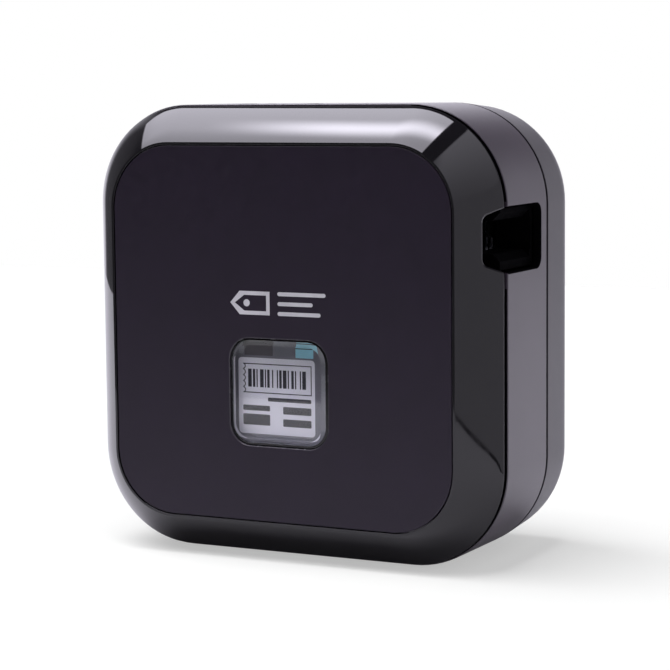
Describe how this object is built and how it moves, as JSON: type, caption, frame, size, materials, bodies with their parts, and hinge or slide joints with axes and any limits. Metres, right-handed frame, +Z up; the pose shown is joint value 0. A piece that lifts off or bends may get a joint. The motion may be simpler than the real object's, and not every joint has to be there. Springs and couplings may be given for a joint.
{
  "type": "label maker",
  "caption": "Upright rounded-square desktop label printer with a hinged front lid, a viewing window, a tape cassette, a print and feed drive, a cutter and a side tape exit.",
  "frame": {"origin": "middle of the footprint, on the surface that the machine stands on", "axes": "+X to the right seen from the front, +Y towards the back, +Z up; the lid faces -Y"},
  "size_m": [0.128, 0.067, 0.128],
  "materials": {
    "case_satin": "satin, fine grain",
    "gloss_black": "polished black",
    "face_satin": "satin, fine grain",
    "gasket_black": "matt",
    "clear_lens": "clear, bevelled edge",
    "black_plastic": "matt moulded",
    "rubber_black": "matt",
    "steel": "bright",
    "blade_steel": "ground",
    "heatsink_alu": "anodised",
    "head_ceramic": "glazed",
    "board_green": "solder resist",
    "chip_black": "moulded",
    "connector_white": "moulded",
    "gear_white": "acetal",
    "brass": "turned",
    "cell_wrap": "shrink wrap",
    "flex_amber": "polyimide",
    "light_guide": "clear",
    "cassette_grey": "moulded",
    "label_paper": "printed",
    "tape_white": "laminated",
    "film_clear": "film",
    "ribbon_black": "ink ribbon"
  },
  "bodies": {
    "housing": {"mid_frame": "case_satin", "back_cover": "case_satin", "rubber_feet": "rubber_black", "case_screws": "steel", "hinge_pin": "steel", "button_board": "board_green", "tact_switches": "black_plastic", "light_pipe": "light_guide", "main_board": "board_green", "board_chips": "chip_black", "board_connectors": "connector_white", "radio_module": "steel", "usb_socket": "steel", "battery_cells": "cell_wrap", "battery_holder": "black_plastic", "chassis_plate": "black_plastic", "cassette_posts": "black_plastic", "cassette_switch": "black_plastic", "print_head": "head_ceramic", "head_heatsink": "heatsink_alu", "head_flat_cable": "flex_amber", "holder_pivot": "steel", "holder_spring": "steel", "feed_motor": "steel", "idler_axle": "steel", "gearbox_plate": "steel", "cutter_bracket": "steel", "fixed_blade": "blade_steel", "cutter_pivot": "steel", "cutter_motor": "steel", "exit_throat": "black_plastic", "cassette_front_shell": "cassette_grey", "cassette_back_shell": "cassette_grey", "cassette_label": "label_paper", "label_tape": "tape_white", "ink_ribbon": "ribbon_black"},
    "lid": {"lid_shell": "gloss_black", "face_panel": "face_satin", "window_gasket": "gasket_black", "window_lens": "clear_lens", "lid_liner": "black_plastic"},
    "platen_arm": {"platen_holder": "black_plastic"},
    "platen": {"platen_roller": "rubber_black"},
    "nip": {"nip_roller": "rubber_black"},
    "label_spool": {"label_tape_roll": "tape_white"},
    "film_spool": {"film_roll": "film_clear"},
    "ribbon_supply": {"ribbon_supply_spool": "ribbon_black"},
    "take_up": {"take_up_gear": "gear_white", "ribbon_take_up_spool": "ribbon_black"},
    "feed": {"drive_gear": "gear_white", "cassette_feed_roller": "gear_white"},
    "idler": {"idler_gear": "gear_white"},
    "pinion": {"motor_pinion": "brass"},
    "cutter_arm": {"moving_blade": "blade_steel"},
    "cutter_drive": {"cutter_pinion": "brass"},
    "power_key": {"power_button": "gloss_black"},
    "feed_key": {"feed_button": "gloss_black"}
  },
  "joints": [
    {"name": "lid_hinge", "type": "hinge", "parent": "housing", "child": "lid", "pos_m": [-0.0615, -0.01875, 0.064], "axis": [0, 0, -1], "range_deg": [0, 100]},
    {"name": "platen_swing", "type": "hinge", "parent": "housing", "child": "platen_arm", "pos_m": [-0.004, -0.014, 0.104], "axis": [0, -1, 0], "range_deg": [0, 6]},
    {"name": "power_press", "type": "slide", "parent": "housing", "child": "power_key", "axis": [0, 0, -1], "range_m": [0, 0.0006], "stiffness_N_per_m": 900, "springref_m": -0.0005},
    {"name": "feed_press", "type": "slide", "parent": "housing", "child": "feed_key", "axis": [0, 0, -1], "range_m": [0, 0.0006], "stiffness_N_per_m": 900, "springref_m": -0.0005},
    {"name": "label_roll_spin", "type": "hinge", "parent": "housing", "child": "label_spool", "pos_m": [-0.022, -0.014, 0.058], "axis": [0, 1, 0], "continuous": true},
    {"name": "film_spin", "type": "hinge", "parent": "housing", "child": "film_spool", "pos_m": [0.015, -0.014, 0.046], "axis": [0, 1, 0], "continuous": true},
    {"name": "ribbon_supply_spin", "type": "hinge", "parent": "housing", "child": "ribbon_supply", "pos_m": [-0.007, -0.014, 0.083], "axis": [0, 1, 0], "continuous": true},
    {"name": "take_up_spin", "type": "hinge", "parent": "housing", "child": "take_up", "pos_m": [0.01007, -0.014, 0.07311], "axis": [0, 1, 0], "continuous": true},
    {"name": "feed_spin", "type": "hinge", "parent": "housing", "child": "feed", "pos_m": [0.036, -0.014, 0.08685], "axis": [0, 1, 0], "continuous": true},
    {"name": "idler_spin", "type": "hinge", "parent": "housing", "child": "idler", "pos_m": [0.02284, -0.014, 0.08206], "axis": [0, 1, 0], "continuous": true},
    {"name": "motor_spin", "type": "hinge", "parent": "housing", "child": "pinion", "pos_m": [0.00236, -0.014, 0.08567], "axis": [0, 1, 0], "continuous": true},
    {"name": "platen_spin", "type": "hinge", "parent": "platen_arm", "child": "platen", "pos_m": [0.02, -0.014, 0.09615], "axis": [0, 1, 0], "continuous": true},
    {"name": "nip_spin", "type": "hinge", "parent": "platen_arm", "child": "nip", "pos_m": [0.036, -0.014, 0.09585], "axis": [0, 1, 0], "continuous": true},
    {"name": "cutter_swing", "type": "hinge", "parent": "housing", "child": "cutter_arm", "pos_m": [0.049, 0.006, 0.086], "axis": [1, 0, 0], "range_deg": [0, 22]},
    {"name": "cutter_pinion_spin", "type": "hinge", "parent": "housing", "child": "cutter_drive", "pos_m": [0.049, 0.0244, 0.086], "axis": [1, 0, 0], "range_deg": [-79.2, 0]}
  ],
  "couplings": [
    {"joint": "platen_swing", "follows": "lid_hinge", "ratio": 0.06},
    {"joint": "film_spin", "follows": "label_roll_spin", "ratio": 1.625},
    {"joint": "ribbon_supply_spin", "follows": "label_roll_spin", "ratio": 3},
    {"joint": "take_up_spin", "follows": "label_roll_spin", "ratio": 3.869},
    {"joint": "feed_spin", "follows": "label_roll_spin", "ratio": 4.6429},
    {"joint": "idler_spin", "follows": "label_roll_spin", "ratio": -6.1905},
    {"joint": "motor_spin", "follows": "label_roll_spin", "ratio": 20.635},
    {"joint": "platen_spin", "follows": "label_roll_spin", "ratio": -4.0625},
    {"joint": "nip_spin", "follows": "label_roll_spin", "ratio": -4.3333},
    {"joint": "cutter_pinion_spin", "follows": "cutter_swing", "ratio": -3.6}
  ]
}
